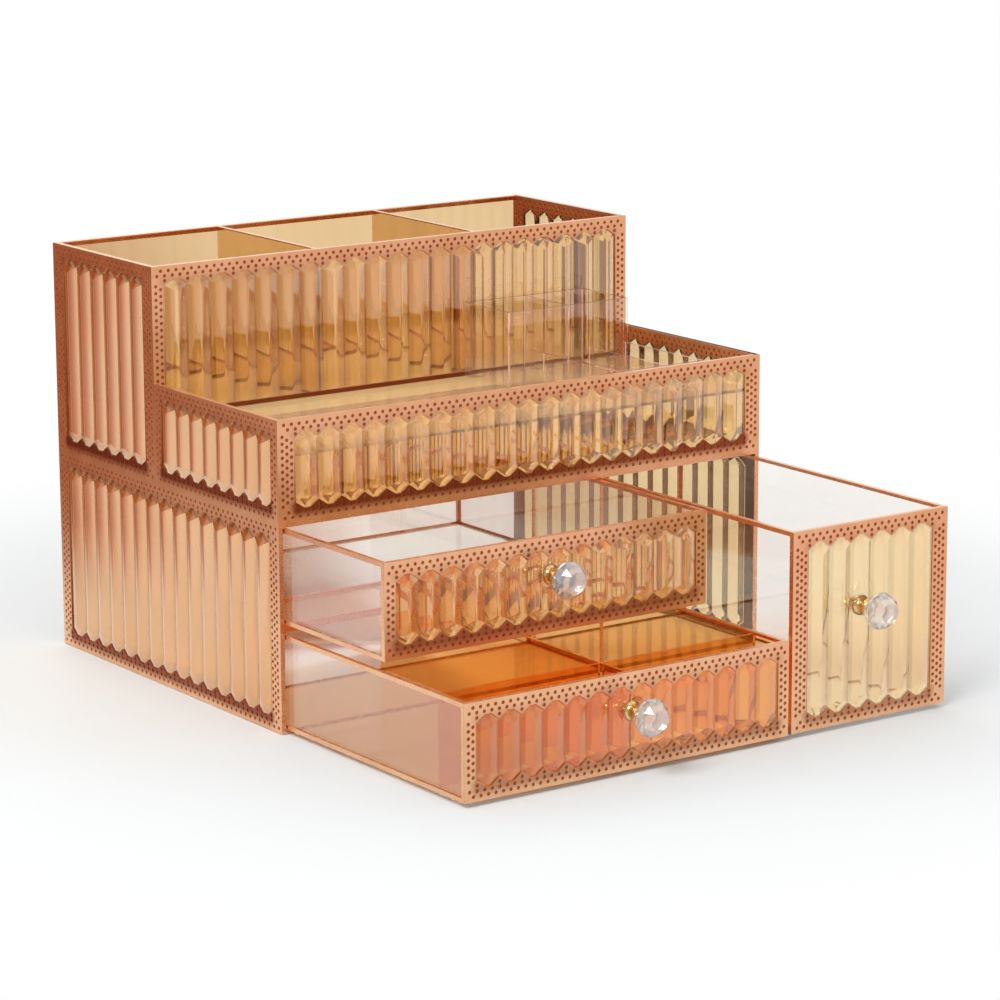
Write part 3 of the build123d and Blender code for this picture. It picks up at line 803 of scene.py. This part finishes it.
def lace_layout(name, length, height, band, flutes, pointed_foot):
    """The wire of a lace's outline and opening, with a loose point at each hole."""
    outline = [(0, 0), (band, 0), (length - band, 0), (length, 0), (length, height), (0, height)]
    line = arch_line(length, band, flutes)
    foot = line if pointed_foot else [(band - lace_fit, foot_strip), (length - band + lace_fit, foot_strip)]
    opening = foot + [(x, height - y) for x, y in reversed(line)]
    holes = hole_centres(length, height, band, flutes, pointed_foot)
    vertices = [(x, y, 0) for x, y in outline + opening + holes]
    edges, first = [], 0
    for loop in (outline, opening):
        edges += [(first + n, first + (n + 1) % len(loop)) for n in range(len(loop))]
        first += len(loop)
    return mesh_of(name, vertices, [], edges), len(holes)


# %% [markdown]
# A node tree can't know where a strip lies in shade, so each lace's painted shade is written into its mesh as a vertex
# value: the copper is darkened most at the foot's teeth, where shade falls between the flutes, and along the tall
# front's foot strip, a little at the head's teeth, and not on the plain side bands. Some laces also fold over the
# glass, and those gain a flat box. The two upper right laces are seen from inside, through their glass, so a mirrored
# copy lies behind the pane.

# %% Make the laces
box_faces = ((0, 1, 3, 2), (4, 6, 7, 5), (0, 4, 5, 1), (2, 3, 7, 6), (0, 2, 6, 4), (1, 5, 7, 3))
seen_from_inside = ("tray_right", "tall_right")


def add_box(mesh, low, high):
    """Adds a copper box between two corners to a lace."""
    work = bmesh.new()
    work.from_mesh(mesh)
    corners = [(x, y, z) for x in (low[0], high[0]) for y in (low[1], high[1]) for z in (low[2], high[2])]
    made = [work.verts.new(corner) for corner in corners]
    new_faces = [work.faces.new([made[i] for i in face]) for face in box_faces]
    for face in new_faces:
        face.material_index = mesh.materials.find(copper_lace.name)
    bmesh.ops.recalc_face_normals(work, faces=new_faces)
    work.to_mesh(mesh)
    work.free()


def add_painted_shade(mesh, length, height, band, pointed_foot, strongest):
    """Writes the painted shade on the copper: the foot's teeth most, the head's teeth a little, the plain side bands
    not.
    """
    def rise(reach, first, last):
        """Grows from 0 to 1 between two reaches from the strip's edge, and is 0 past the teeth."""
        return min(max((reach - first) / (last - first), 0), 1) if reach < tooth_reach + mm else 0

    painted_shade = mesh.attributes.new("painted_shade", "FLOAT", "POINT")
    for vertex, value in zip(mesh.vertices, painted_shade.data):
        x, y, _ = vertex.co
        if min(x, length - x) < band - 1.5 * mm:
            continue
        # Painted shade at the foot: the pointed teeth, or the tall front's plain foot strip.
        foot = rise(y, 1.5 * mm, 5.5 * mm) if pointed_foot else 0 <= y <= foot_strip + lace_fit
        head = rise(height - y, 4.0 * mm, 10.0 * mm)
        value.value = max(strongest * foot, 0.3 * head)


def add_inner_side(name, mesh, matrix):
    """Lays a mirrored copy of a lace behind its glass, where the strip shows from inside."""
    inner = add_object(f"{name}_inner_lace", mesh.copy())
    mirror = Matrix.Translation((0, 0, -glass - 0.05 * mm)) @ Matrix.Scale(-1, 4, (0, 0, 1))
    inner.data.transform(mirror)
    inner.data.flip_normals()
    inner.data.transform(matrix)
    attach(inner, "organizer")
    print(inner.name, len(inner.data.polygons), "faces")


def lace(name, matrix, size, pointed_foot=True, fold=None, body="organizer", **_):
    """Makes one lace in place of its plain strip."""
    length, height, band, flutes = size
    layout, count = lace_layout(name, length, height, band, flutes, pointed_foot)
    holder = add_object(f"{name}_punched", layout)
    run_tree(holder, lace_tree, {
        "Hole Radius": hole_radius, "Hole Sides": 10, "Thickness": metal, "Backing": 0.12 * mm,
        "Finish": copper_lace, "Backing Finish": dark_copper,
    })
    if fold is not None:
        add_box(holder.data, (fold, height - metal, -glass), (length - fold, height, 0))
    if name == "tall_front":
        drop = tier_floor - cabinet_height
        add_box(holder.data, (0, -drop, 0), (wall, 0, metal))
        add_box(holder.data, (length - wall, -drop, 0), (length, 0, metal))
    add_painted_shade(holder.data, length, height, band, pointed_foot, 0.9 if body == "organizer" else 0.55)
    if name in seen_from_inside:
        add_inner_side(name, holder.data, matrix)
    holder.data.transform(matrix)
    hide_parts(f"{name}_lace")
    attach(holder, body)
    return holder, count


total = 0
for name, (matrix, size, fit) in faces.items():
    piece, count = lace(name, matrix, size, **fit)
    total += count
    print(piece.name, count, "holes,", len(piece.data.polygons), "faces")
print(total, "holes in all")

# %% [markdown]
# ## The knobs
# A knob is a cut crystal in a gilt cup. The crystal has a flat table at the front, a crown of large facets, a girdle
# and a pavilion that narrows into the cup; neighbouring rings are turned by half a facet, so that the facets are
# triangles and kites that sparkle. The collar is turned brass.


# %% Make the knobs
crystal_rings = ((4.7, 0.0), (8.0, 3.4), (10.0, 6.6), (10.0, 8.4), (8.7, 11.4), (5.6, 15.0))
crystal_turns = (0, 0, 0.5, 0.5, 0, 0.5)


def crystal_mesh(name, centre, sides=12):
    """A cut crystal from rings of corners, each with a radius, a height in mm and a turn in facets."""
    rings, turn = crystal_rings, crystal_turns
    vertices = []
    for (radius, height), shift in zip(rings, turn):
        for n in range(sides):
            angle = 2 * pi * (n + shift) / sides
            vertices.append(centre + Vector((cos(angle) * radius * mm, -height * mm, sin(angle) * radius * mm)))
    faces = [tuple(range(sides)), tuple(range((len(rings) - 1) * sides, len(rings) * sides))]
    for ring in range(len(rings) - 1):
        base, over = ring * sides, (ring + 1) * sides
        for n in range(sides):
            m = (n + 1) % sides
            if turn[ring] == turn[ring + 1]:
                faces.append((base + n, base + m, over + m, over + n))
            elif turn[ring] < turn[ring + 1]:
                faces.append((base + n, base + m, over + n))
                faces.append((base + m, over + m, over + n))
            else:
                faces.append((base + n, over + m, over + n))
                faces.append((base + n, base + m, over + m))
    mesh = mesh_of(name, vertices, faces)
    tidy_normals(mesh)
    return mesh


collar_profile = [
    (2.2, 0), (5.0, 0), (5.0, 0.9), (4.7, 1.2), (3.9, 1.7), (3.4, 2.6), (3.3, 4.4), (3.6, 5.8), (4.3, 6.7),
    (4.9, 7.1), (5.0, 7.6), (4.9, 8.1), (4.9, 9.3), (4.6, 9.6), (2.2, 9.6),
]
for drawer in drawer_faces:
    seat = knob_axis(drawer)
    low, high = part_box(f"{drawer}_knob_crystal")
    crystal = add_object(f"{drawer}_cut_crystal", crystal_mesh("crystal", Vector((seat.x, high.y, seat.z))))
    crystal.data.materials.append(cut_crystal)
    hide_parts(f"{drawer}_knob_crystal")
    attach(crystal, drawer)
    collar_mesh = lathe("collar", [(r * mm, h * mm) for r, h in collar_profile], 40, seat)
    collar = add_object(f"{drawer}_turned_collar", collar_mesh)
    collar.data.materials.append(gilt)
    collar.data.shade_smooth()
    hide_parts(f"{drawer}_knob_collar")
    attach(collar, drawer)
    print(drawer, "knob at", tuple(round(v, 4) for v in seat))

# %% [markdown]
# ## The plain panes
# The flat panes are cut sheets with ground edges. A sharp-edged sheet that touches its neighbour exactly would show a
# false black line, so each pane is a copy of its solid, a hair smaller, with every edge eased by a quarter of a
# millimetre. The eased edges catch the thin highlights that outline real glass.

# %% Make the plain panes
same_plane = radians(1)
edge_angle = radians(20)


def eased(name, label, finish, body="organizer", gap=0.06 * mm, ease=0.25 * mm):
    """Puts a copy of a solid in its place, smaller by the gap all round and with eased edges."""
    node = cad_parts[name]
    mesh = node.data.copy()
    mesh.transform(node.matrix_world)
    work = bmesh.new()
    work.from_mesh(mesh)
    bmesh.ops.remove_doubles(work, verts=work.verts, dist=weld)
    bmesh.ops.dissolve_limit(work, angle_limit=same_plane, verts=work.verts, edges=work.edges)
    if gap:
        low = [min(v.co[i] for v in work.verts) for i in range(3)]
        high = [max(v.co[i] for v in work.verts) for i in range(3)]
        for vertex in work.verts:
            for i in range(3):
                size = high[i] - low[i]
                vertex.co[i] = low[i] + gap + (vertex.co[i] - low[i]) * (size - 2 * gap) / size
    sharp = [e for e in work.edges if len(e.link_faces) == 2 and e.calc_face_angle() > edge_angle]
    bmesh.ops.bevel(work, geom=sharp, offset=ease, segments=2, profile=0.5, affect="EDGES", clamp_overlap=True)
    bmesh.ops.recalc_face_normals(work, faces=work.faces)
    work.to_mesh(mesh)
    work.free()
    mesh.materials.clear()
    mesh.materials.append(finish)
    piece = add_object(label, mesh)
    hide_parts(name)
    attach(piece, body)
    return piece


plain_panes = {
    "tall_back": amber_plate, "tall_divider_left": amber_plate, "tall_divider_right": amber_plate,
    "tier_floor": cream_floor, "cabinet_top": gold_floor, "cabinet_base": pale_floor, "drawer_shelf": pale_floor,
    "cabinet_back": clear_plate, "bay_divider": clear_plate,
    "lower_drawer_cross_divider": amber_floor, "lower_drawer_long_divider": amber_floor,
}
for drawer in drawer_faces:
    floors = {"lower_drawer": amber_floor, "upper_drawer": pale_floor, "side_drawer": clear_plate}
    plain_panes[f"{drawer}_bottom_pane"] = floors[drawer]
    for side in ("left", "right", "back"):
        plain_panes[f"{drawer}_{side}_pane"] = clear_plate if drawer == "side_drawer" else pale_plate
plain_panes["lower_drawer_right_pane"] = amber_floor
for name, finish in plain_panes.items():
    body = next((d for d in drawer_faces if name.startswith(d)), "organizer")
    piece = eased(name, f"{name}_ground", finish, body)
print(len(plain_panes), "plain panes; the last one has", len(piece.data.polygons), "faces")

# %% [markdown]
# Along the foot of each upright pane of the tall box, where it stands on the raised floor, lies a fine dark copper
# bead: painted shade in the crease. The beads are thin, but the flutes in front of them break each one into a row of
# dark arcs.

# %% Make the solder beads
def bead(vertices, faces, start, end, sideways, size=1.3 * mm):
    """Adds a three-sided bead along the foot of a pane, from start to end, with its foot to one side."""
    base = len(vertices)
    for point in (start, end):
        vertices += [point, point + Vector(sideways) * size, point + Vector((0, 0, size))]
    faces += [(base, base + 1, base + 2), (base + 5, base + 4, base + 3)]
    for m, n in ((0, 1), (1, 2), (2, 0)):
        faces.append((base + n, base + m, base + m + 3, base + n + 3))


bead_vertices, bead_faces = [], []
floor_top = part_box("tier_floor")[1].z
back_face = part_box("tall_back")[0].y
back_ends = [Vector((x, back_face, floor_top)) for x in (left + 3 * mm, -left - 3 * mm)]
bead(bead_vertices, bead_faces, *back_ends, (0, -1, 0))
for name in ("tall_divider_left", "tall_divider_right"):
    low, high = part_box(name)
    for x, way in ((low.x, -1), (high.x, 1)):
        ends = [Vector((x, y, floor_top)) for y in (low.y + mm, high.y - 2 * mm)]
        bead(bead_vertices, bead_faces, *ends, (way, 0, 0))
beads = add_object("tall_painted_shade_beads", mesh_of("tall_painted_shade_beads", bead_vertices, bead_faces))
tidy_normals(beads.data)
# The beads' dark copper is painted shade.
beads.data.materials.append(dark_copper)
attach(beads, "organizer")
print("solder beads:", len(beads.data.polygons), "faces")

# %% [markdown]
# The insert is moulded clear acrylic, and it is seen mostly by its edges. The rims on top get a painted brown shade,
# the tone of the walls seen below them, and the upright corners a painted highlight, so both get a finish of their
# own. A rim is a narrow face that looks up, above the insert's floor; a corner is a narrow upright one.

# %% Make the clear insert
insert = eased("clear_insert", "moulded_insert", clear_acrylic, "insert", gap=0.0, ease=0.5 * mm)
insert.data.materials.append(acrylic_rim_painted_shade)
insert.data.materials.append(acrylic_corner_painted_highlight)
insert_floor = 160 * mm
rim_area = 288 * mm * mm
corner_areas = (2 * mm * mm, 30 * mm * mm)
for face in insert.data.polygons:
    if face.normal.z > 0.6 and face.area < rim_area and face.center.z > insert_floor:
        face.material_index = 1
    elif abs(face.normal.z) < 0.2 and corner_areas[0] < face.area < corner_areas[1]:
        face.material_index = 2
used = [face.material_index for face in insert.data.polygons]
print("insert:", len(used), "faces,", used.count(1), "on the rims,", used.count(2), "at the corners")

# %% [markdown]
# ## Finishes for the solids
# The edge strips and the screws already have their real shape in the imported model, so they only get their finish.
# The solids that a finer piece replaces get the same finish as that piece.

# %% Assign finishes
for name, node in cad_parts.items():
    if name.endswith("_trim"):
        finish = copper_strip
    elif name.endswith("_lace"):
        finish = copper_lace
    elif name.endswith(("_screw", "_collar")):
        finish = gilt
    elif name.endswith("_crystal"):
        finish = cut_crystal
    elif name == "clear_insert":
        finish = clear_acrylic
    else:
        finish = plain_panes.get(name) or flute_finish(name)
    node.data.materials.clear()
    node.data.materials.append(finish)
print("finished", len(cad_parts), "nodes")

# %% [markdown]
# ## The dressed model's box
# The box that the dressed model fills is printed.

# %% Finish
low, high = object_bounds()
print("visual box", tuple(low), tuple(high))
